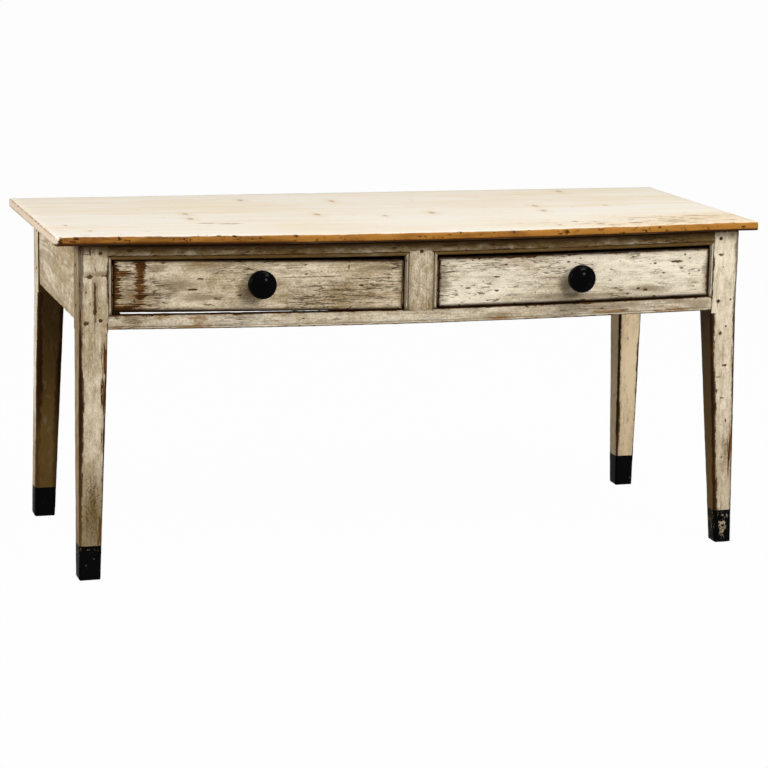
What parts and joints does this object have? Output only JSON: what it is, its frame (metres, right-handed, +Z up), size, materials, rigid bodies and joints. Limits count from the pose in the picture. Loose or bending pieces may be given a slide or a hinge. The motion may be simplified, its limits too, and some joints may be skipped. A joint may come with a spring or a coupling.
{
  "type": "prep table",
  "caption": "Free-standing pine prep table with a boarded top, tapered legs, a pegged frame and drawers that slide out of its front on wooden runners.",
  "frame": {"origin": "on the floor, at the middle of the whole table's outline, knobs included", "axes": "+X to the right along the front, +Y from the drawer fronts to the rear, +Z up"},
  "size_m": [1.656, 0.698, 0.775],
  "materials": {
    "scrubbed_pine": "bare scrubbed pine, matt",
    "cream_paint": "old cream paint on pine, chipped and worn to the wood",
    "raw_pine": "unfinished pine, aged and dusty",
    "black_paint": "gloss black paint on turned wood",
    "iron": "dull dark iron"
  },
  "bodies": {
    "frame": {"top_board_1": "scrubbed_pine", "top_board_2": "scrubbed_pine", "top_board_3": "scrubbed_pine", "top_board_4": "scrubbed_pine", "front_left_leg": "cream_paint", "front_right_leg": "cream_paint", "rear_left_leg": "cream_paint", "rear_right_leg": "cream_paint", "left_end_apron": "cream_paint", "right_end_apron": "cream_paint", "rear_apron": "cream_paint", "front_top_rail": "cream_paint", "front_bottom_rail": "cream_paint", "front_muntin": "cream_paint", "left_outer_bead": "cream_paint", "right_outer_bead": "cream_paint", "left_inner_bead": "cream_paint", "right_inner_bead": "cream_paint", "left_top_bead": "cream_paint", "right_top_bead": "cream_paint", "left_runner": "raw_pine", "centre_runner": "raw_pine", "right_runner": "raw_pine", "left_guide": "raw_pine", "centre_guide": "raw_pine", "right_guide": "raw_pine", "left_kicker": "raw_pine", "centre_kicker": "raw_pine", "right_kicker": "raw_pine", "drawer_stops": "raw_pine", "frame_pegs": "cream_paint", "glue_blocks": "raw_pine", "top_screws": "iron"},
    "left_drawer": {"left_drawer_left_side": "raw_pine", "left_drawer_right_side": "raw_pine", "left_drawer_front": "cream_paint", "left_drawer_back": "raw_pine", "left_drawer_bottom_front": "raw_pine", "left_drawer_bottom_rear": "raw_pine", "left_drawer_knob": "black_paint", "left_drawer_knob_wedge": "raw_pine", "left_drawer_nails": "iron"},
    "right_drawer": {"right_drawer_left_side": "raw_pine", "right_drawer_right_side": "raw_pine", "right_drawer_front": "cream_paint", "right_drawer_back": "raw_pine", "right_drawer_bottom_front": "raw_pine", "right_drawer_bottom_rear": "raw_pine", "right_drawer_knob": "black_paint", "right_drawer_knob_wedge": "raw_pine", "right_drawer_nails": "iron"}
  },
  "joints": [
    {"name": "left_drawer_slide", "type": "slide", "parent": "frame", "child": "left_drawer", "axis": [0, -1, 0], "range_m": [0, 0.42]},
    {"name": "right_drawer_slide", "type": "slide", "parent": "frame", "child": "right_drawer", "axis": [0, -1, 0], "range_m": [0, 0.42]}
  ]
}
